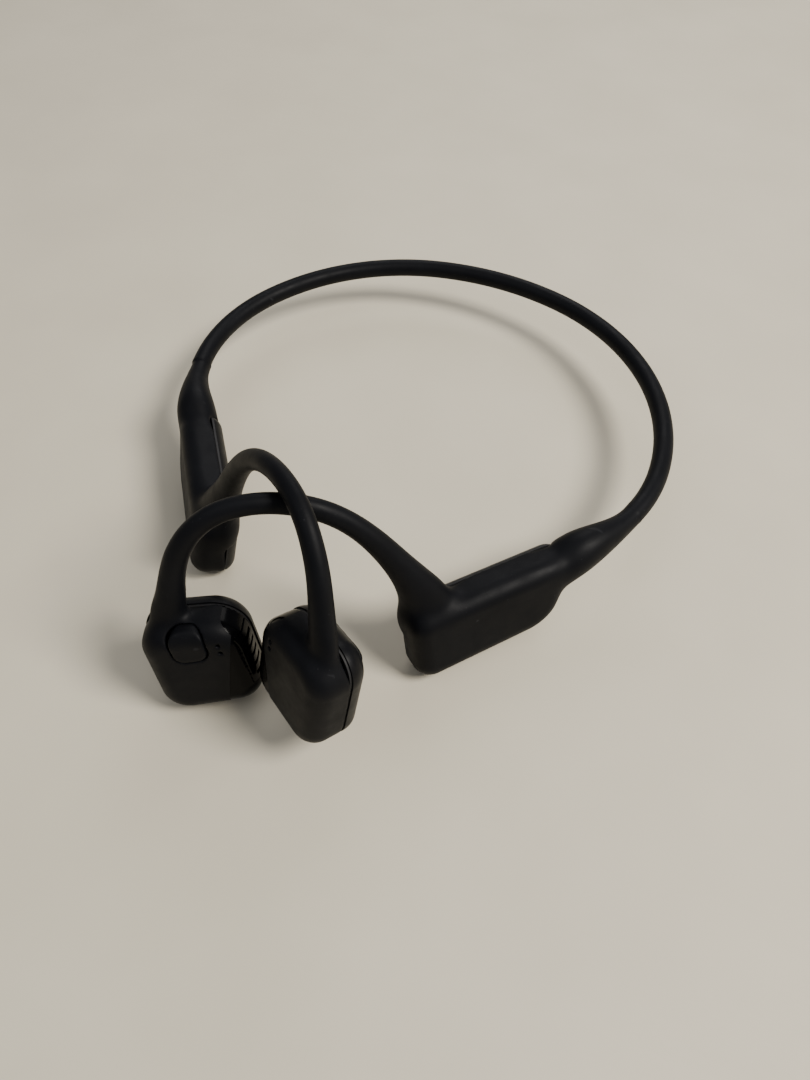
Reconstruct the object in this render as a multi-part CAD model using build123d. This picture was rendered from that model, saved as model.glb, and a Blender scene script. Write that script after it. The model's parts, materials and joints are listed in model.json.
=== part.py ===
from build123d import *
from math import cos, radians, sin
import os

# Bone conduction headphones, lying with their two arms crossed and the ear hooks interlocked.
# Millimetres, +Z up, -Y is the way a wearer would face, origin under the middle of the whole object.
# Each arm is built in a frame of its own: x forward from pod to earpiece, y outward, z up.

# neckband
band_diameter = 4.1
band_slope = 1.9            # the band's plane falls towards the back by this many degrees
band_tilt = 0.55            # and rises towards the left pod by this many
band_arcs = [(38.0, 41.0), (49.1, 38.8), (50.2, 33.8), (61.3, 30.2), (49.8, 53.8), (39.5, 60.9)]
wire_diameter = 0.9
lead_diameter = 1.0
channel_play = 0.06         # radial room round a wire or lead in its channel
channel_offset = 0.75       # wire above, leads below the middle of a sleeve

# how the arms lie: heading from +X seen from above, nose-down pitch, lean of the top towards the head
left_lie = {"heading": 230.7, "pitch": 0.8, "lean": 15.7, "lift": -1.35}
right_lie = {"pitch": -0.8, "lean": 14.7, "lift": -1.22}
tail_point = (-36.5, 5.9, 13.7)

# the hooks are caught in each other, so each is bent a little at its root: turned in, raised, twisted
hook_root = (0.0, 3.5, 20.0)
hook_bend = {"left": (1.0, -1.3, -0.3), "right": (-0.7, 5.0, -2.0)}

# pod behind the ear
pod_thickness = 8.8
pod_middle_y = 5.5
pod_outline = [(0.7, 0.3), (-28.0, 1.3), (-35.5, 15.9), (0.2, 16.3)]
pod_corner_radii = [3.8, 9.0, 3.6, 3.8]
pod_edge_radius = 3.3
pod_wall = 1.1
pod_parting_y = 3.2
parting_gap = 0.4
port_place = (-22.0, 9.2)
light_place = (-14.0, 9.2)

# boot between pod and neckband
boot_length = 15.0
boot_gap = 0.4
wire_stub = 4.0

# ear hook
hook_y = 3.5
hook_turn_in = 14.5
hook_start = (-3.61, 20.0)
hook_heading = 70.3
hook_arcs = [(87.6, -9.0), (24.6, -14.8), (23.9, -33.9), (13.7, -58.7), (19.8, -19.5), (86.1, -9.7)]

# earpiece
ear_centre = (34.1, -5.6, 15.9)
ear_turn_in = 22.2
ear_width = 18.8
ear_height = 21.2
ear_thickness = 10.8
ear_edge_radius = 3.6
ear_wall = 1.0
ear_parting_y = -1.4
pad_thickness = 1.0

# buttons
button_travel = 0.4
button_play = 0.15
main_button_size = (6.0, 6.4)
main_button_place = (0.2, 6.2)
main_button_rise = 0.3
main_button_low = 2.0       # how far across the earpiece the cap's skirt reaches
volume_button_size = (6.5, 2.6)
volume_button_height = 1.4
volume_button_y = 6.0
volume_button_xs = {"volume_up_button": -9.5, "volume_down_button": -17.5}

os.makedirs("parts", exist_ok=True)


def side_plane(y):
    """Plane seen from outside an arm: its x is forward, its y is up, and it faces inward."""
    return Plane(origin=(0, y, 0), x_dir=(1, 0, 0), z_dir=(0, -1, 0))


def slab(face, y_low, y_high, edge=0.0):
    """Extrude a side outline across the arm, with both rims rounded."""
    solid = extrude(side_plane(y_high) * face, amount=y_high - y_low)
    if edge:
        faces = solid.faces().sort_by(Axis.Y)
        solid = fillet(faces[0].edges() + faces[-1].edges(), edge)
    return solid


def block(centre, size, radius=0.0):
    """Box at a centre, with its upright corners in the side view rounded."""
    face = RectangleRounded(size[0], size[2], radius) if radius else Rectangle(size[0], size[2])
    half = size[1] / 2
    return slab(Pos(centre[0], centre[2]) * face, centre[1] - half, centre[1] + half)


def disc(centre, radius, y_low, y_high, bore=0.0):
    """Round plate or ring whose axis runs across the arm."""
    face = Circle(radius) - Circle(bore) if bore else Circle(radius)
    return slab(Pos(*centre) * face, y_low, y_high)


def half_space(y, outward):
    """Everything outward or inward of an upright plane at y."""
    reach = 200.0
    return Pos(0, y + reach / 2 if outward else y - reach / 2, 0) * Box(reach, reach, reach)


def arc_chain(start, heading, arcs):
    """Tangent arcs in the XY plane from radii and turns; a positive turn goes left."""
    edges = []
    point = Vector(*start)
    for radius, turn in arcs:
        tangent = Vector(cos(radians(heading)), sin(radians(heading)))
        edges.append(JernArc(point, tangent, radius, turn))
        point = edges[-1] @ 1
        heading += turn
    return Wire(edges)


def tube(path, diameter):
    """Round bar along a path."""
    start = Plane(origin=path @ 0, z_dir=path % 0)
    return sweep(start * Circle(diameter / 2), path=path)


# ---- pod ----

def pod_face(inset=0.0):
    corners = [Vector(x, z) for x, z in pod_outline]
    line = FilletPolyline(*corners, radius=pod_corner_radii, close=True)
    face = make_face(line)
    return offset(face, amount=-inset) if inset else face


def pod_envelope(inset=0.0):
    """The pod's outer shape, or the same shape shrunk on all sides."""
    low = pod_middle_y - pod_thickness / 2 + inset
    high = pod_middle_y + pod_thickness / 2 - inset
    return slab(pod_face(inset), low, high, pod_edge_radius - inset)


def pod_shell():
    return pod_envelope() - pod_envelope(pod_wall)


def pod_cover():
    return pod_shell() & half_space(pod_parting_y + parting_gap / 2, True)


def pod_housing():
    return pod_shell() & half_space(pod_parting_y - parting_gap / 2, False)


def pod_gasket():
    ring = pod_face(0.35) - pod_face(pod_wall)
    return slab(ring, pod_parting_y - parting_gap / 2, pod_parting_y + parting_gap / 2)


# ---- ear hook ----

def hook_plane(shift=0.0):
    turn = radians(hook_turn_in)
    inward = Vector(-sin(turn), -cos(turn), 0)
    return Plane(origin=Vector(0, hook_y, 0) - inward * shift, x_dir=(cos(turn), -sin(turn), 0),
                 z_dir=inward)


def bend(side):
    """Moves a straight-built hook and its earpiece to where the hook is bent to."""
    turn_in, raised, twist = hook_bend[side]
    turned = Rot(0, 0, -turn_in) * Rot(0, -raised, 0) * Rot(twist, 0, 0)
    return Pos(*hook_root) * turned * Pos(*(-Vector(*hook_root)))


def hook_path(side, shift=0.0):
    return bend(side) * (hook_plane(shift) * arc_chain(hook_start, hook_heading, hook_arcs))


def hook_section(inward, place, along, half_width, half_thickness):
    """Ellipse across the hook, wide in the hook's own plane."""
    return Plane(origin=place, x_dir=inward, z_dir=along) * Ellipse(half_thickness, half_width)


def hook_body(side):
    """Broad foot on the pod, slim over the ear, wider again where it meets the earpiece."""
    path = hook_path(side)
    bent = Plane(bend(side) * hook_plane().location).z_dir
    stations = [(0.07, 2.8, 2.5), (0.17, 2.2, 2.1), (0.3, 1.9, 1.8), (0.45, 1.8, 1.7),
                (0.6, 1.8, 1.7), (0.75, 2.0, 1.85), (0.87, 2.6, 2.1), (1.0, 3.4, 2.5)]
    sections = [hook_section(bent, path @ t, path % t, width, thick) for t, width, thick in stations]
    plane = hook_plane()
    foot = [(-5.6, 9.0, 6.0, 3.6), (-4.9, 16.2, 5.2, 3.5)]
    up = Vector(0, 0, 1)
    bases = [hook_section(plane.z_dir, plane.from_local_coords(Vector(u, z)), up, width, thick)
             for u, z, width, thick in foot]
    return loft(bases + sections)


def hook_sleeve(side, pod, earpiece):
    channels = tube(hook_path(side, channel_offset), wire_diameter + 2 * channel_play)
    channels += tube(hook_path(side, -channel_offset), lead_diameter + 2 * channel_play)
    return largest(hook_body(side) - pod - earpiece - channels)


def hook_cut(shape, pod, earpiece):
    """The part of a wire or lead that lies between pod and earpiece."""
    return largest(shape - pod - earpiece)


def largest(shape):
    return shape.solids().sort_by(SortBy.VOLUME)[-1]


# ---- earpiece, in its own frame, then set into the arm ----

ear_seat = Pos(*ear_centre) * Rot(0, 0, -ear_turn_in)


def ear_face(inset=0.0):
    half_width = ear_width / 2
    half_height = ear_height / 2
    corners = [Vector(half_width, -half_height), Vector(-half_width, -half_height + 0.6),
               Vector(-half_width, half_height - 1.2), Vector(half_width - 0.6, half_height)]
    line = FilletPolyline(*corners, radius=[5.0, 5.0, 6.5, 5.5], close=True)
    face = make_face(line)
    return offset(face, amount=-inset) if inset else face


def ear_envelope(inset=0.0):
    half = ear_thickness / 2 - inset
    return slab(ear_face(inset), -half, half, ear_edge_radius - inset)


def ear_shell():
    return ear_envelope() - ear_envelope(ear_wall)


def main_button_column(low, play=0.0):
    """Rounded column through the outer wall, down to a depth, in which the button travels."""
    x, z = main_button_place
    width, height = main_button_size
    high = ear_thickness / 2 + 2 * ear_wall
    return block((x, (low + high) / 2, z), (width + 2 * play, high - low, height + 2 * play), 2.0 + play)


def grille_window(play=0.0):
    return Pos(-ear_width / 2, 1.9, 0.4) * Box(4 * ear_wall, 5.0 + play, 11.0 + play)


def mic_ports():
    """Two sound holes behind the button, over the microphone."""
    holes = [disc((-4.9, z), 0.4, 3.5, ear_thickness) for z in (4.2, 5.9)]
    return holes[0] + holes[1]


def ear_cover(has_button):
    shell = ear_shell() & half_space(ear_parting_y + parting_gap / 2, True)
    shell -= grille_window()
    shell -= mic_ports()
    if has_button:
        shell -= main_button_column(main_button_low - button_travel - button_play, button_play)
    return largest(shell)


def ear_housing():
    return ear_shell() & half_space(ear_parting_y - parting_gap / 2, False)


def ear_gasket():
    ring = ear_face(0.35) - ear_face(ear_wall)
    return slab(ring, ear_parting_y - parting_gap / 2, ear_parting_y + parting_gap / 2)


def contact_pad():
    """Soft pad glued on the side that rests on the cheekbone."""
    rim = -ear_thickness / 2
    return slab(ear_face(ear_edge_radius + 0.2), rim - pad_thickness, rim)


def sound_grille():
    """Insert in the rear wall, with a row of slots for the sound."""
    plate = ear_shell() & grille_window(-0.1)
    for step in range(-2, 3):
        plate -= Pos(-ear_width / 2, 1.9, 0.4 + 2 * step) * Box(4 * ear_wall, 3.4, 0.8)
    return largest(plate)


def transducer():
    """Bone conduction driver: coil in a magnet's gap, shaking a plate behind the contact pad."""
    middle = (0.6, -0.6)
    yoke = disc(middle, 6.2, -3.5, -0.7) - disc(middle, 5.6, -3.5, -1.3)
    return {
        "transducer_yoke": yoke,
        "transducer_magnet": disc(middle, 4.2, -3.1, -1.3),
        "voice_coil": disc(middle, 5.3, -3.4, -1.7, 4.6),
        "spring_plate": disc(middle, 6.0, -4.1, -3.7),
    }


def main_button():
    """Cap that follows the earpiece's rounded top edge and stands slightly proud."""
    cap = ear_envelope(-main_button_rise) - ear_envelope(ear_wall)
    return cap & main_button_column(main_button_low)


def main_button_switch():
    """Tact switch under the button's flat part; its plunger stops just short of the pressed button."""
    x = main_button_place[0]
    z = main_button_place[1] - 1.6
    top = ear_thickness / 2 - ear_wall - button_travel - 0.1
    return block((x, top - 1.0, z), (4.0, 1.2, 4.0), 0.4) + disc((x, z), 0.9, top - 0.4, top)


def ear_parts(side):
    """Everything in one earpiece, in the arm's frame."""
    parts = {
        "earpiece_cover": ear_cover(side == "left"),
        "earpiece_housing": ear_housing(),
        "earpiece_gasket": ear_gasket(),
        "contact_pad": contact_pad(),
        "sound_grille": sound_grille(),
        "air_driver": Pos(-6.5, 1.5, 0.4) * Rot(0, 90, 0) * Cylinder(2.2, 1.8),
        "microphone": block((-4.9, 3.3, 5.3), (1.8, 1.0, 3.4), 0.3),
    }
    parts.update(transducer())
    if side == "left":
        parts["multifunction_button"] = main_button()
        parts["multifunction_switch"] = main_button_switch()
    return {name: bend(side) * ear_seat * shape for name, shape in parts.items()}


# ---- inside the pods ----

def battery():
    return block((-14.4, pod_middle_y, 8.7), (20.8, 5.4, 9.4), 1.2)


def battery_board():
    return block((-27.6, pod_middle_y, 9.6), (1.4, 4.6, 4.8), 0.3)


def main_board():
    return block((-15.0, pod_middle_y + 0.7, 9.3), (22.0, 0.8, 9.0), 0.8)


def board_shield():
    return block((-13.0, pod_middle_y + 1.75, 9.4), (13.0, 1.3, 7.0), 0.6)


def charging_port():
    """USB-C receptacle that opens through the pod's inner face."""
    x, z = port_place
    low = pod_middle_y - pod_thickness / 2
    body = slab(Pos(x, z) * RectangleRounded(8.9, 3.2, 1.5), low + 0.2, pod_middle_y + 0.2)
    body -= slab(Pos(x, z) * RectangleRounded(8.3, 2.6, 1.25), low, pod_middle_y - 0.4)
    tongue = slab(Pos(x, z) * Rectangle(6.7, 0.7), low + 0.9, pod_middle_y - 0.4)
    return body + tongue


def port_hole():
    low = pod_middle_y - pod_thickness / 2
    return slab(Pos(*port_place) * RectangleRounded(9.0, 3.3, 1.6), low - 1, low + 2 * pod_wall)


def port_seal():
    """Rubber ring round the receptacle, just inside the pod's wall."""
    low = pod_middle_y - pod_thickness / 2 + pod_wall
    ring = RectangleRounded(10.4, 4.7, 2.2) - RectangleRounded(9.0, 3.3, 1.6)
    return slab(Pos(*port_place) * ring, low, low + 0.8)


def light_pipe():
    low = pod_middle_y - pod_thickness / 2
    return disc(light_place, 0.7, low, low + 2.2)


def light_hole():
    low = pod_middle_y - pod_thickness / 2
    return disc(light_place, 0.75, low - 1, low + 2 * pod_wall)


def under_pod_face(x, grow=0.0):
    """Rounded outline on the pod's underside, seen from below."""
    length, width = volume_button_size
    return Pos(x, volume_button_y) * RectangleRounded(length + grow, width + grow, 1.2)


def underside(x):
    """Height of the pod's underside, which rises towards the rear."""
    (front_x, front_z), (rear_x, rear_z) = pod_outline[:2]
    return front_z + (front_x - x) * (rear_z - front_z) / (front_x - rear_x)


def volume_button(x):
    return Pos(0, 0, underside(x) + 0.1) * extrude(under_pod_face(x), amount=volume_button_height)


def volume_hole(x):
    return Pos(0, 0, underside(x) - 2) * extrude(under_pod_face(x, 2 * button_play), amount=4.6)


def volume_switches():
    """Two small switches over the volume buttons."""
    group = []
    thickness = 0.9
    for x in volume_button_xs.values():
        pressed_top = underside(x) + 0.1 + volume_button_height + button_travel
        group.append(Pos(x, volume_button_y, pressed_top + 0.15 + thickness / 2) * Box(3.4, 2.4, thickness))
    return Compound(children=group)


def pod_parts(side):
    cover = pod_cover()
    housing = pod_housing()
    parts = {"pod_gasket": pod_gasket()}
    if side == "left":
        parts["battery"] = battery()
        parts["battery_board"] = battery_board()
    else:
        for name, x in volume_button_xs.items():
            cover -= volume_hole(x)
            parts[name] = volume_button(x)
        housing -= port_hole()
        housing -= light_hole()
        parts["main_board"] = main_board()
        parts["board_shield"] = board_shield()
        parts["usb_c_receptacle"] = charging_port()
        parts["port_seal"] = port_seal()
        parts["status_light_pipe"] = light_pipe()
        parts["volume_switches"] = volume_switches()
    parts["pod_cover"] = largest(cover)
    parts["pod_housing"] = largest(housing)
    return parts


# ---- neckband, in the assembly's frame before centring ----

def arm_location(origin, heading, pitch, lean):
    return Location(origin) * Rot(0, 0, heading) * Rot(0, pitch, 0) * Rot(lean, 0, 0)


def mirrored(point):
    return (point[0], -point[1], point[2])


left_seat = arm_location((0, 0, left_lie["lift"]), left_lie["heading"], left_lie["pitch"], left_lie["lean"])
band_start = (left_seat * Location(tail_point)).position
band_plane = Plane(Pos(*band_start) * Rot(0, -band_tilt, 0) * Rot(-band_slope, 0, 0))


def band_path(shift=0.0):
    flat = arc_chain((0, 0), left_lie["heading"] + 180.0, band_arcs)
    return band_plane.offset(shift) * flat


right_heading = left_lie["heading"] - 180.0 + sum(turn for radius, turn in band_arcs)


def right_arm_seat():
    """The right arm stands where its tail meets the end of the band."""
    turned = arm_location((0, 0, 0), right_heading, right_lie["pitch"], -right_lie["lean"])
    reach = (turned * Location(mirrored(tail_point))).position
    end = band_path() @ 1
    return Pos(end.X - reach.X, end.Y - reach.Y, right_lie["lift"]) * turned


right_seat = right_arm_seat()


def middle_stretch(shift, margin):
    """The band's path without a margin at each end."""
    path = band_path(shift)
    share = margin / path.length
    return path.trim(share, 1 - share)


def neckband_sleeve():
    bar = tube(middle_stretch(0, boot_length), band_diameter)
    bar -= tube(middle_stretch(channel_offset, boot_length - 1), wire_diameter + 2 * channel_play)
    bar -= tube(middle_stretch(-channel_offset, boot_length - 1), lead_diameter + 2 * channel_play)
    return bar


def boot_section(path, at, outline):
    point = path @ (at / path.length)
    along = path % (at / path.length)
    return Plane(origin=point, x_dir=Vector(0, 0, 1).cross(along), z_dir=along) * outline


def tail_boot(pod):
    """Flared boot that carries the slim band into the pod's rear; left arm, assembly frame."""
    path = band_path()
    outer = [(boot_length - boot_gap, 2.05, 2.05), (9.5, 2.35, 2.45), (4.0, 3.3, 3.5)]
    inner = [(boot_length - boot_gap + 1, 1.65, 1.6), (9.5, 1.9, 1.95), (4.0, 2.5, 2.7)]
    seat = left_seat * Location((-30.0, pod_middle_y - 0.1, 11.0)) * Rot(0, 90, 0)
    skin = loft([boot_section(path, *spot(s)) for s in outer] + [seat * Ellipse(4.5, 4.2)])
    hollow = loft([boot_section(path, *spot(s)) for s in inner] + [seat * Ellipse(3.5, 3.2)])
    return largest(skin - hollow - pod)


def spot(station):
    """Station along the band's path as a distance and an ellipse."""
    return station[0], Ellipse(station[1], station[2])


def build_arm(side):
    """All nodes of one arm in the arm's own frame, as the left arm is built."""
    pod = pod_envelope()
    earpiece = bend(side) * ear_seat * ear_envelope()
    parts = pod_parts(side)
    parts.update(ear_parts(side))
    parts["hook_sleeve"] = hook_sleeve(side, pod, earpiece)
    parts["hook_wire"] = hook_cut(tube(hook_path(side, channel_offset), wire_diameter), pod, earpiece)
    parts["hook_leads"] = hook_cut(tube(hook_path(side, -channel_offset), lead_diameter), pod, earpiece)
    return parts


single_names = {"battery", "battery_board", "multifunction_button", "multifunction_switch", "main_board",
                "board_shield", "usb_c_receptacle", "port_seal", "status_light_pipe", "volume_switches",
                "volume_up_button", "volume_down_button"}


def node_name(side, name):
    return name if name in single_names else side + "_" + name


def assemble():
    nodes = {}
    for name, shape in build_arm("left").items():
        nodes[node_name("left", name)] = left_seat * shape
    for name, shape in build_arm("right").items():
        nodes[node_name("right", name)] = right_seat * mirror(shape, about=Plane.XZ)
    left_boot = tail_boot(left_seat * pod_envelope())
    nodes["left_tail_boot"] = left_boot
    back_to_arm = left_seat.inverse() * left_boot
    nodes["right_tail_boot"] = right_seat * mirror(back_to_arm, about=Plane.XZ)
    nodes["neckband_sleeve"] = neckband_sleeve()
    nodes["neckband_wire"] = tube(middle_stretch(channel_offset, boot_length - wire_stub), wire_diameter)
    nodes["neckband_cable"] = tube(middle_stretch(-channel_offset, boot_length - wire_stub), lead_diameter)
    return nodes


nodes = assemble()
box = Compound(children=[shape for node in nodes.values() for shape in node.solids()]).bounding_box()
centring = Pos(-box.center().X, -box.center().Y, -box.min.Z)
for name, shape in nodes.items():
    export_step(centring * shape, os.path.join("parts", name + ".step"))
print("size", box.size, "left arm origin", centring.position)
print("right arm origin", (centring * right_seat).position, "heading", right_heading)
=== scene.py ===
import json
from math import cos, pi, radians, sin

import bmesh
import bpy
import numpy as np
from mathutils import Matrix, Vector
from mathutils.bvhtree import BVHTree
from mathutils.kdtree import KDTree


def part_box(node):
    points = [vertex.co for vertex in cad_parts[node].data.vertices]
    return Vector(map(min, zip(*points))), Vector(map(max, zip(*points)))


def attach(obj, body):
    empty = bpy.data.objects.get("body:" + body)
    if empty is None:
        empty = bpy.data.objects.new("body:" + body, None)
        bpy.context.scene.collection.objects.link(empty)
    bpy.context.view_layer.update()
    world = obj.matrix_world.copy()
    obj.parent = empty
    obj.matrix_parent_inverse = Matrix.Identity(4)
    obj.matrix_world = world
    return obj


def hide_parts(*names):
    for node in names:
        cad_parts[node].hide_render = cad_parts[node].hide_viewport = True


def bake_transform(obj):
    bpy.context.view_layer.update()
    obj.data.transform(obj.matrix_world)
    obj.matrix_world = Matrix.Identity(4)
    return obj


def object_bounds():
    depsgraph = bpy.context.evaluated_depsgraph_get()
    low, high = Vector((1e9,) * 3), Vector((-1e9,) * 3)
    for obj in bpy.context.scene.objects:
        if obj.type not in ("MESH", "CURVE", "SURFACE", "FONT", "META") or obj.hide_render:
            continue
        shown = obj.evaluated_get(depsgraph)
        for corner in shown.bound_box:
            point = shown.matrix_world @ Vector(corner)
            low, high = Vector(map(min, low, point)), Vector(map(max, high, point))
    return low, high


# Bone conduction headphones, dressed in their silicone skin. Metres, in the CAD frame.

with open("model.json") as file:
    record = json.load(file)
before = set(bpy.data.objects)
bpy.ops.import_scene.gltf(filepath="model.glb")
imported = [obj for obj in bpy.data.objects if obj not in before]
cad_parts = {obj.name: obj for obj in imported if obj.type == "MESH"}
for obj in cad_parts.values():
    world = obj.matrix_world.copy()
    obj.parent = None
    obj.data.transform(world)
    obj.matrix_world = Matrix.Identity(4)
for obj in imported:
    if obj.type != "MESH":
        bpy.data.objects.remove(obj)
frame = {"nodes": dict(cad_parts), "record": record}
cad_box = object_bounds()
nodes = frame["nodes"]
record = frame["record"]
MM = 0.001

weld = 1e-7                      # points closer than this are one point

# skin
skin_voxel = 0.25 * MM
voxel_rounds = 6                 # fairing that takes the voxel steps out
fairing_steps = (0.5, -0.52)     # in, then slightly further out, so that nothing shrinks
touching = 0.08 * MM             # surfaces closer than this meet in a joint line
junction_reach = 5.0 * MM        # how far from a joint line the surface is eased
junction_rounds = 110
bridge_reach = 1.4 * MM          # a short bar bridges the gap between boot and band
bridge_radius = 2.05 * MM
bridge_sides = 40
bridge_rings = ((0.0, 0.86), (0.06, 1.0), (0.94, 1.0), (1.0, 0.86))    # shares of its length and radius
crease_reach = 6.0 * MM          # how far from a flex hinge the crease round the band is taken out
crease_rounds = 30
band_ring = (3 * MM, 6 * MM)     # the band's direction is read this far from a flex hinge
band_split_y = 0.0               # only the band lies behind this line; it is parted at the middle

# earpiece outlet panel, from the earpiece's middle
ear_half_depth = 6.4 * MM
ear_reach = 17.0 * MM
panel_start = 5.4 * MM
panel_slants = (0.35, -0.6)      # its front edge leans back up to the turn, then forward above it
panel_turn = 6.5 * MM
panel_top = 10.9 * MM
panel_inset = 0.12 * MM

# mesh behind the sound slots, from the middle of the slotted insert
mesh_depth = 0.75 * MM
mesh_bow = 0.1 * MM
mesh_half = (2.4 * MM, 5.4 * MM)
mesh_thickness = 0.1 * MM
mesh_cells = (8, 16)

# small moulded pieces
piece_voxel = 0.2 * MM
piece_rounds = 14
cap_shrink = 0.07 * MM           # keeps the pressed cap off the skin round it

# view: where the camera stands around the point it looks at
view_target = Vector((8.7, -12.95, 0.1)) * MM
view_azimuth = 24.7
view_elevation = 53.9
view_distance = 171.1 * MM
view_lens = 27.03

# stage
floor_half = 1.5
floor_drop = 0.05 * MM


# ---- materials ----

SOCKETS = {"ior": "IOR", "specular": "Specular IOR Level", "metallic": "Metallic",
           "transmission": "Transmission Weight"}


class Nodes:
    """A material's node tree with short helpers for adding and wiring nodes."""

    def __init__(self, name):
        self.material = bpy.data.materials.new(name)
        self.material.use_nodes = True
        self.tree = self.material.node_tree
        self.shader = self.tree.nodes["Principled BSDF"]
        self.place = self.tree.nodes.new("ShaderNodeTexCoord").outputs["Object"]

    def wire(self, source, target):
        self.tree.links.new(source, target)

    def mapped(self, scale, turn=(0, 0, 0)):
        node = self.tree.nodes.new("ShaderNodeMapping")
        self.wire(self.place, node.inputs["Vector"])
        node.inputs["Scale"].default_value = scale
        node.inputs["Rotation"].default_value = [radians(a) for a in turn]
        return node.outputs["Vector"]

    def noise(self, scale, detail=3.0, roughness=0.5, vector=None):
        node = self.tree.nodes.new("ShaderNodeTexNoise")
        self.wire(vector or self.place, node.inputs["Vector"])
        node.inputs["Scale"].default_value = scale
        node.inputs["Detail"].default_value = detail
        node.inputs["Roughness"].default_value = roughness
        return node.outputs["Fac"]

    def ramp(self, source, span, values=(0.0, 1.0)):
        """Carries a span of the source over to a range of values."""
        node = self.tree.nodes.new("ShaderNodeMapRange")
        self.wire(source, node.inputs["Value"])
        node.inputs["From Min"].default_value = span[0]
        node.inputs["From Max"].default_value = span[1]
        node.inputs["To Min"].default_value = values[0]
        node.inputs["To Max"].default_value = values[1]
        return node.outputs["Result"]

    def mix(self, factor, first, second):
        """Colour between two, each a colour or another node's output."""
        node = self.tree.nodes.new("ShaderNodeMix")
        node.data_type = "RGBA"
        self.wire(factor, node.inputs["Factor"])
        for socket, value in ((node.inputs[6], first), (node.inputs[7], second)):
            if isinstance(value, (tuple, list)):
                socket.default_value = (*value, 1.0)
            else:
                self.wire(value, socket)
        return node.outputs[2]

    def times(self, first, second):
        node = self.tree.nodes.new("ShaderNodeMath")
        node.operation = "MULTIPLY"
        self.wire(first, node.inputs[0])
        self.wire(second, node.inputs[1])
        return node.outputs["Value"]

    def bump(self, height, strength, distance, under=None):
        node = self.tree.nodes.new("ShaderNodeBump")
        node.inputs["Strength"].default_value = strength
        node.inputs["Distance"].default_value = distance
        self.wire(height, node.inputs["Height"])
        if under:
            self.wire(under, node.inputs["Normal"])
        return node.outputs["Normal"]

    def surface(self, colour, roughness, normal, **values):
        """Wires the shader's main inputs and sets the plain ones by their short names."""
        for socket, source in (("Base Color", colour), ("Roughness", roughness), ("Normal", normal)):
            self.wire(source, self.shader.inputs[socket])
        for name, value in values.items():
            self.shader.inputs[SOCKETS[name]].default_value = value
        return self.material


def silicone(name, dark, light, dust):
    """Matte soft-touch silicone: fine grain, faint clouding, skin marks, dust and hair scratches."""
    m = Nodes(name)
    cloud = m.ramp(m.noise(90.0, detail=4.0, roughness=0.6), (0.35, 0.7))
    speck = m.ramp(m.noise(2600.0, detail=2.0), (0.735, 0.76))
    patch = m.ramp(m.noise(140.0, detail=2.0), (0.45, 0.62))
    stretched = m.mapped((0.05, 1.0, 1.0), turn=(20, 35, 50))
    hair = m.ramp(m.noise(700.0, detail=1.0, vector=stretched), (0.745, 0.76), (0.0, 0.35))
    dusty = m.mix(m.times(speck, patch), m.mix(cloud, dark, light), dust)
    colour = m.mix(m.times(hair, patch), dusty, dust)
    rough = m.ramp(m.noise(260.0, detail=4.0, roughness=0.65), (0.3, 0.7), (0.44, 0.58))
    grain = m.bump(m.noise(5200.0, detail=2.0), 0.16, 0.06 * MM)
    wave = m.bump(m.noise(420.0, detail=2.0), 0.05, 0.2 * MM, under=grain)
    return m.surface(colour, rough, wave, ior=1.22, specular=0.42)


def moulded(name, dark, light, gloss, grain_scale=4200.0, grain=0.12, **values):
    """Moulded plastic, metal or board with a fine surface and a roughness between two values."""
    m = Nodes(name)
    colour = m.mix(m.ramp(m.noise(160.0, detail=4.0), (0.3, 0.7)), dark, light)
    rough = m.ramp(m.noise(500.0), (0.3, 0.7), gloss)
    normal = m.bump(m.noise(grain_scale, detail=2.0), grain, 0.05 * MM)
    return m.surface(colour, rough, normal, **values)


def brushed(name, dark, light):
    """Drawn or brushed metal, with fine lines one way."""
    m = Nodes(name)
    lines = m.noise(2400.0, detail=2.0, vector=m.mapped((0.04, 1.0, 1.0)))
    colour = m.mix(m.ramp(lines, (0.3, 0.7)), dark, light)
    rough = m.ramp(lines, (0.3, 0.7), (0.22, 0.42))
    return m.surface(colour, rough, m.bump(lines, 0.1, 0.04 * MM), metallic=1.0)


def winding(name, dark, light):
    """Enamelled wire wound in fine turns."""
    m = Nodes(name)
    turns = m.tree.nodes.new("ShaderNodeTexWave")
    turns.inputs["Scale"].default_value = 2200.0
    m.wire(m.place, turns.inputs["Vector"])
    colour = m.mix(turns.outputs["Fac"], dark, light)
    rough = m.ramp(m.noise(900.0), (0.3, 0.7), (0.25, 0.4))
    return m.surface(colour, rough, m.bump(turns.outputs["Fac"], 0.4, 0.1 * MM), metallic=0.9)


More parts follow.
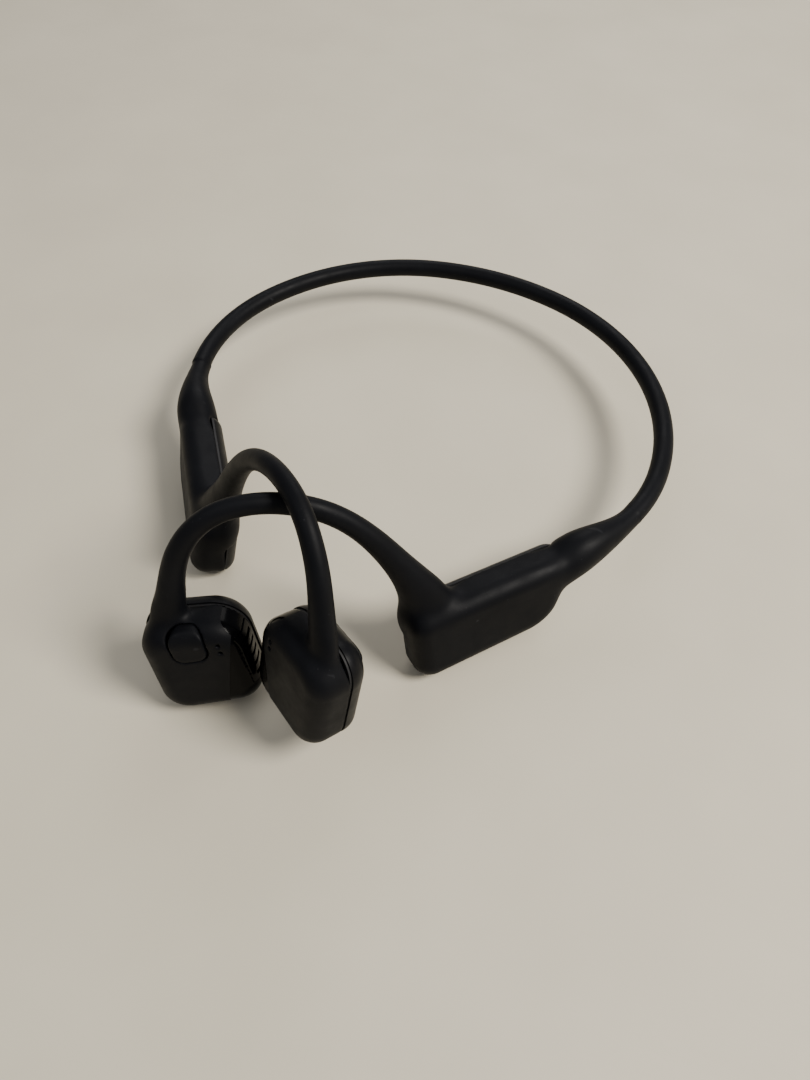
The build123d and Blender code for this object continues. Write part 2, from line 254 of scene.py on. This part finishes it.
MATERIALS = {
    "silicone_skin": silicone("silicone_skin", dark=(0.0026, 0.0029, 0.0040), light=(0.0042, 0.0046, 0.0060),
                              dust=(0.030, 0.031, 0.035)),
    "button_silicone": silicone("button_silicone", dark=(0.0028, 0.0031, 0.0042),
                                light=(0.0044, 0.0048, 0.0062), dust=(0.028, 0.029, 0.033)),
    "housing_plastic": moulded("housing_plastic", dark=(0.0030, 0.0032, 0.0040),
                               light=(0.0048, 0.0051, 0.0062), gloss=(0.34, 0.46), ior=1.25, specular=0.4),
    "seal_rubber": moulded("seal_rubber", dark=(0.006, 0.006, 0.007), light=(0.010, 0.010, 0.011),
                           gloss=(0.6, 0.75)),
    "gloss_black": moulded("gloss_black", dark=(0.0010, 0.0010, 0.0013), light=(0.0015, 0.0015, 0.0019),
                           gloss=(0.12, 0.2), grain_scale=300.0, grain=0.02, ior=1.15, specular=0.5),
    "component_black": moulded("component_black", dark=(0.02, 0.02, 0.02), light=(0.035, 0.035, 0.035),
                               gloss=(0.4, 0.55)),
    "circuit_board": moulded("circuit_board", dark=(0.012, 0.06, 0.028), light=(0.02, 0.09, 0.04),
                             gloss=(0.3, 0.42), grain_scale=1600.0),
    "battery_foil": brushed("battery_foil", dark=(0.5, 0.51, 0.53), light=(0.66, 0.67, 0.69)),
    "spring_steel": brushed("spring_steel", dark=(0.42, 0.42, 0.43), light=(0.6, 0.6, 0.61)),
    "plated_metal": brushed("plated_metal", dark=(0.6, 0.6, 0.62), light=(0.76, 0.76, 0.78)),
    "lead_jacket": moulded("lead_jacket", dark=(0.03, 0.03, 0.03), light=(0.05, 0.05, 0.05),
                           gloss=(0.4, 0.55)),
    "light_pipe": moulded("light_pipe", dark=(0.7, 0.71, 0.72), light=(0.8, 0.81, 0.82), gloss=(0.12, 0.2),
                          grain_scale=900.0, grain=0.03, transmission=0.6),
    "copper_winding": winding("copper_winding", dark=(0.28, 0.09, 0.03), light=(0.62, 0.27, 0.12)),
}


def paint(obj, slot):
    obj.data.materials.clear()
    obj.data.materials.append(MATERIALS[slot])


def paint_frame():
    """Gives each CAD node the material of its slot."""
    for part in record["subparts"]:
        obj = nodes[part["node"]]
        for index in range(len(obj.material_slots)):
            obj.material_slots[index].material = MATERIALS[part["material_slot"]]


# ---- mesh work ----

def coordinates(mesh):
    flat = np.empty(len(mesh.vertices) * 3)
    mesh.vertices.foreach_get("co", flat)
    return flat.reshape(-1, 3)


def set_coordinates(mesh, points):
    mesh.vertices.foreach_set("co", points.ravel())
    mesh.update()


def new_object(name, data):
    obj = bpy.data.objects.new(name, data)
    bpy.context.scene.collection.objects.link(obj)
    return obj


def joined(name, parts, extra=()):
    """One object that holds copies of the parts' meshes."""
    work = bmesh.new()
    for part in parts:
        work.from_mesh(part.data)
    for mesh in extra:
        work.from_mesh(mesh)
    bmesh.ops.remove_doubles(work, verts=work.verts, dist=weld)
    mesh = bpy.data.meshes.new(name)
    work.to_mesh(mesh)
    work.free()
    return new_object(name, mesh)


def shade_smooth(obj):
    obj.data.polygons.foreach_set("use_smooth", [True] * len(obj.data.polygons))


def cut(work, faces, place, facing):
    """Cuts some faces of a mesh along a plane."""
    edges = {e for f in faces for e in f.edges}
    corners = {v for f in faces for v in f.verts}
    region = faces + list(edges | corners)
    bmesh.ops.bisect_plane(work, geom=region, dist=weld, plane_co=place, plane_no=facing)


def remesh(obj, voxel):
    modifier = obj.modifiers.new("remesh", "REMESH")
    modifier.mode = "VOXEL"
    modifier.voxel_size = voxel
    modifier.use_smooth_shade = True
    graph = bpy.context.evaluated_depsgraph_get()
    mesh = bpy.data.meshes.new_from_object(obj.evaluated_get(graph))
    obj.modifiers.clear()
    obj.data = mesh


def neighbours_mean(points, edges, degree):
    total = np.empty_like(points)
    for axis in range(3):
        column = points[:, axis]
        total[:, axis] = (np.bincount(edges[:, 0], column[edges[:, 1]], len(points))
                          + np.bincount(edges[:, 1], column[edges[:, 0]], len(points)))
    return total / degree[:, None]


def edge_table(mesh):
    flat = np.empty(len(mesh.edges) * 2, dtype=np.int64)
    mesh.edges.foreach_get("vertices", flat)
    edges = flat.reshape(-1, 2)
    degree = np.bincount(edges.ravel(), minlength=len(mesh.vertices)).astype(float)
    return edges, np.maximum(degree, 1.0)


def fair(mesh, rounds, weight=None):
    """Takes steps and creases out of a surface, or out of a weighted part of it."""
    edges, degree = edge_table(mesh)
    points = coordinates(mesh)
    share = 1.0 if weight is None else weight[:, None]
    for _ in range(rounds):
        for amount in fairing_steps:
            points = points + amount * share * (neighbours_mean(points, edges, degree) - points)
    set_coordinates(mesh, points)


def ease(mesh, weight, rounds):
    """Smooths a surface where its weight is above nought."""
    edges, degree = edge_table(mesh)
    points = coordinates(mesh)
    for _ in range(rounds):
        points = points + 0.5 * weight[:, None] * (neighbours_mean(points, edges, degree) - points)
    set_coordinates(mesh, points)


def meeting_points(node, other):
    """Vertices of one CAD node that lie on another node's surface."""
    mesh = other.data
    tree = BVHTree.FromPolygons([v.co for v in mesh.vertices], [p.vertices for p in mesh.polygons])
    return [v.co.copy() for v in node.data.vertices if tree.find_nearest(v.co, touching)[0]]


def nearness(mesh, places, reach):
    """1 at the given places, falling smoothly to 0 at the reach."""
    tree = KDTree(len(places))
    for index, place in enumerate(places):
        tree.insert(place, index)
    tree.balance()
    distance = np.array([tree.find(v.co)[2] for v in mesh.vertices])
    share = np.clip(1.0 - distance / reach, 0.0, 1.0)
    return share * share * (3.0 - 2.0 * share)


def bridge_mesh(start, end, radius):
    """Closed round bar between two points, with its rims rounded off."""
    work = bmesh.new()
    along = end - start
    turn = along.to_track_quat("Z", "Y").to_matrix()
    loops = []
    for share, width in bridge_rings:
        loop = []
        for step in range(bridge_sides):
            angle = 2 * pi * step / bridge_sides
            offset = turn @ Vector((cos(angle), sin(angle), 0)) * radius * width
            loop.append(work.verts.new(start + along * share + offset))
        loops.append(loop)
    for low, high in zip(loops, loops[1:]):
        for step in range(bridge_sides):
            after = (step + 1) % bridge_sides
            work.faces.new((low[step], low[after], high[after], high[step]))
    work.faces.new(list(reversed(loops[0])))
    work.faces.new(loops[-1])
    mesh = bpy.data.meshes.new("bridge")
    work.to_mesh(mesh)
    work.free()
    return mesh


# ---- skins ----

def hinge(side):
    """A flex hinge's place, and the band's direction there, away from the arm."""
    name = side + "_arm_flex"
    joint = next(j for j in record["behaviour"]["joints"] if j["name"] == name)
    place = Vector(joint["pos_m"])
    sleeve = nodes["neckband_sleeve"].data
    nearest, farthest = band_ring
    close = [v.co for v in sleeve.vertices if nearest < (v.co - place).length < farthest]
    middle = sum(close, Vector()) / len(close)
    return place, (middle - place).normalized()


def part_band(mesh, keep_positive):
    """Cuts the band at the middle of the object and keeps one half of it."""
    work = bmesh.new()
    work.from_mesh(mesh)
    behind = [f for f in work.faces if f.calc_center_median().y > band_split_y]
    cut(work, behind, (0, 0, 0), (1, 0, 0))
    sign = 1 if keep_positive else -1
    middles = [(f, f.calc_center_median()) for f in work.faces]
    spare = [f for f, middle in middles if middle.y > band_split_y and middle.x * sign < 0]
    bmesh.ops.delete(work, geom=spare, context="FACES")
    work.to_mesh(mesh)
    work.free()


def arm_skin(side):
    """One continuous silicone skin over an arm: pod, boot, hook, earpiece and half of the band."""
    names = [side + "_pod_cover", side + "_tail_boot", side + "_hook_sleeve", side + "_earpiece_cover"]
    parts = [nodes[name] for name in names]
    place, along = hinge(side)
    bridge = bridge_mesh(place - along * bridge_reach, place + along * bridge_reach, bridge_radius)
    skin = joined(side + "_arm_skin", parts + [nodes["neckband_sleeve"]], [bridge])
    remesh(skin, skin_voxel)
    fair(skin.data, voxel_rounds)
    fair(skin.data, crease_rounds, nearness(skin.data, [place], crease_reach))
    pod, boot, hook, earpiece = parts
    lines = meeting_points(hook, pod) + meeting_points(hook, earpiece) + meeting_points(boot, pod)
    ease(skin.data, nearness(skin.data, lines, junction_reach), junction_rounds)
    part_band(skin.data, keep_positive=side == "left")
    outlet_panel(side, skin)
    paint(skin, "silicone_skin")
    shade_smooth(skin)
    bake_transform(skin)
    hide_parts(*names)
    return skin


def contact_face(side):
    """Place and inward direction of a contact pad's flat face."""
    face = next(m for m in record["mounts"] if m["name"] == side + "_contact_face")
    return Vector(face["pos_m"]), Vector(face["axis"]).normalized()


def ear_axes(side):
    """An earpiece's middle, and its rearward and upward directions."""
    place, inward = contact_face(side)
    middle = place - inward * ear_half_depth
    low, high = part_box(side + "_sound_grille")
    rear = (low + high) / 2 - middle
    rear = (rear - inward * rear.dot(inward)).normalized()
    up = Vector((0, 0, 1))
    up = (up - inward * up.dot(inward) - rear * up.dot(rear)).normalized()
    return middle, rear, up


def outlet_panel(side, skin):
    """Takes an earpiece's glossy rear wall out of the skin as a panel of its own, set in slightly."""
    middle, rear, up = ear_axes(side)
    edge_place = middle + rear * (panel_start + panel_slants[0] * panel_turn) + up * panel_turn
    edge_facings = [(rear - up * slant).normalized() for slant in panel_slants]
    work = bmesh.new()
    work.from_mesh(skin.data)
    for facing in edge_facings:
        close = [f for f in work.faces if (f.calc_center_median() - middle).length < ear_reach]
        cut(work, close, edge_place, facing)

    def on_panel(face):
        place = face.calc_center_median()
        behind = any((place - edge_place).dot(facing) > 0 for facing in edge_facings)
        in_reach = (place - middle).length < ear_reach and (place - middle).dot(up) < panel_top
        return behind and in_reach and (place - middle).dot(rear) > 0

    panel_work = work.copy()
    bmesh.ops.delete(panel_work, geom=[f for f in panel_work.faces if not on_panel(f)], context="FACES")
    bmesh.ops.delete(work, geom=[f for f in work.faces if on_panel(f)], context="FACES")
    panel_work.normal_update()
    for vertex in panel_work.verts:
        vertex.co -= vertex.normal * panel_inset
    work.to_mesh(skin.data)
    mesh = bpy.data.meshes.new(side + "_outlet_panel")
    panel_work.to_mesh(mesh)
    work.free()
    panel_work.free()
    panel = new_object(side + "_outlet_panel", mesh)
    paint(panel, "gloss_black")
    shade_smooth(panel)
    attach(panel, side + "_arm")


def outlet_mesh(side):
    """Fine dark mesh just behind an earpiece's sound slots, bowed a little outwards."""
    middle, rear, up = ear_axes(side)
    across = rear.cross(up)
    low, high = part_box(side + "_sound_grille")
    centre = (low + high) / 2 - rear * mesh_depth
    work = bmesh.new()
    rows = []
    for u in np.linspace(-1, 1, mesh_cells[0] + 1):
        row = []
        for v in np.linspace(-1, 1, mesh_cells[1] + 1):
            place = centre + across * (u * mesh_half[0]) + up * (v * mesh_half[1])
            bow = mesh_bow * (1 - u * u) * (1 - v * v)
            row.append(work.verts.new(place + rear * bow))
        rows.append(row)
    for near, far in zip(rows, rows[1:]):
        for a, b, c, d in zip(near, near[1:], far[1:], far):
            work.faces.new((a, b, c, d))
    bmesh.ops.solidify(work, geom=work.faces[:], thickness=mesh_thickness)
    mesh = bpy.data.meshes.new(side + "_outlet_mesh")
    work.to_mesh(mesh)
    work.free()
    obj = new_object(side + "_outlet_mesh", mesh)
    paint(obj, "seal_rubber")
    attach(obj, side + "_arm")


def softened(node, name, body, slot, shrink=0.0):
    """A small moulded piece with its edges rounded, in place of its CAD node."""
    piece = joined(name, [nodes[node]])
    remesh(piece, piece_voxel)
    ease(piece.data, np.ones(len(piece.data.vertices)), piece_rounds)
    normals = np.array([v.normal for v in piece.data.vertices])
    set_coordinates(piece.data, coordinates(piece.data) - normals * shrink)
    shade_smooth(piece)
    paint(piece, slot)
    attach(piece, body)
    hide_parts(node)


# ---- stage ----

def table_top():
    """Pale painted table with a faint grain."""
    m = Nodes("table_top")
    colour = m.mix(m.ramp(m.noise(30.0), (0.3, 0.7)), (0.602, 0.552, 0.432), (0.642, 0.590, 0.464))
    grain = m.noise(900.0, roughness=0.6, vector=m.mapped((0.03, 1.0, 1.0), turn=(0, 0, -view_azimuth)))
    rough = m.ramp(grain, (0.3, 0.7), (0.5, 0.62))
    return m.surface(colour, rough, m.bump(grain, 0.08, 0.2 * MM), specular=0.3)


def floor():
    mesh = bpy.data.meshes.new("floor")
    half = floor_half
    corners = [(-half, -half, 0), (half, -half, 0), (half, half, 0), (-half, half, 0)]
    mesh.from_pydata(corners, [], [(0, 1, 2, 3)])
    obj = new_object("floor", mesh)
    obj.location.z = cad_box[0][2] - floor_drop
    obj.data.materials.append(table_top())


def around(azimuth, elevation, distance):
    """A place round the point that the camera looks at."""
    a = radians(azimuth)
    e = radians(elevation)
    return view_target + distance * Vector((sin(a) * cos(e), -cos(a) * cos(e), sin(e)))


def aim(obj):
    """Turns a light or camera to the point that the camera looks at."""
    obj.rotation_euler = (view_target - obj.location).to_track_quat("-Z", "Y").to_euler()


def area_light(name, turn, elevation, distance, size, power, colour):
    """Round soft light, turned about the object from the camera's side."""
    data = bpy.data.lights.new(name, "AREA")
    data.shape = "DISK"
    data.size = size
    data.energy = power
    data.color = colour
    obj = new_object(name, data)
    obj.location = around(view_azimuth + turn, elevation, distance)
    aim(obj)


def lights():
    area_light("key", turn=72, elevation=50, distance=0.9, size=0.34, power=10.8, colour=(1.0, 0.95, 0.88))
    area_light("fill", turn=-60, elevation=60, distance=1.1, size=0.9, power=1.9, colour=(0.95, 0.97, 1.0))
    area_light("rim", turn=170, elevation=38, distance=1.0, size=0.6, power=2.6, colour=(1.0, 0.97, 0.94))
    world = bpy.data.worlds.new("studio")
    world.use_nodes = True
    backdrop = world.node_tree.nodes["Background"]
    backdrop.inputs["Color"].default_value = (0.93, 0.94, 1.0, 1)
    backdrop.inputs["Strength"].default_value = 0.28
    bpy.context.scene.world = world


def camera():
    data = bpy.data.cameras.new("camera")
    data.lens = view_lens
    data.clip_start = 0.01
    obj = new_object("camera", data)
    obj.location = around(view_azimuth, view_elevation, view_distance)
    aim(obj)
    bpy.context.scene.camera = obj


camera()
lights()
floor()
paint_frame()
skins = [arm_skin("left"), arm_skin("right")]
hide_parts("neckband_sleeve")
softened("multifunction_button", "multifunction_button_cap", "multifunction_button", "button_silicone",
         shrink=cap_shrink)
for side in ("left", "right"):
    outlet_mesh(side)
    softened(side + "_contact_pad", side + "_contact_pad_skin", side + "_arm", "silicone_skin")
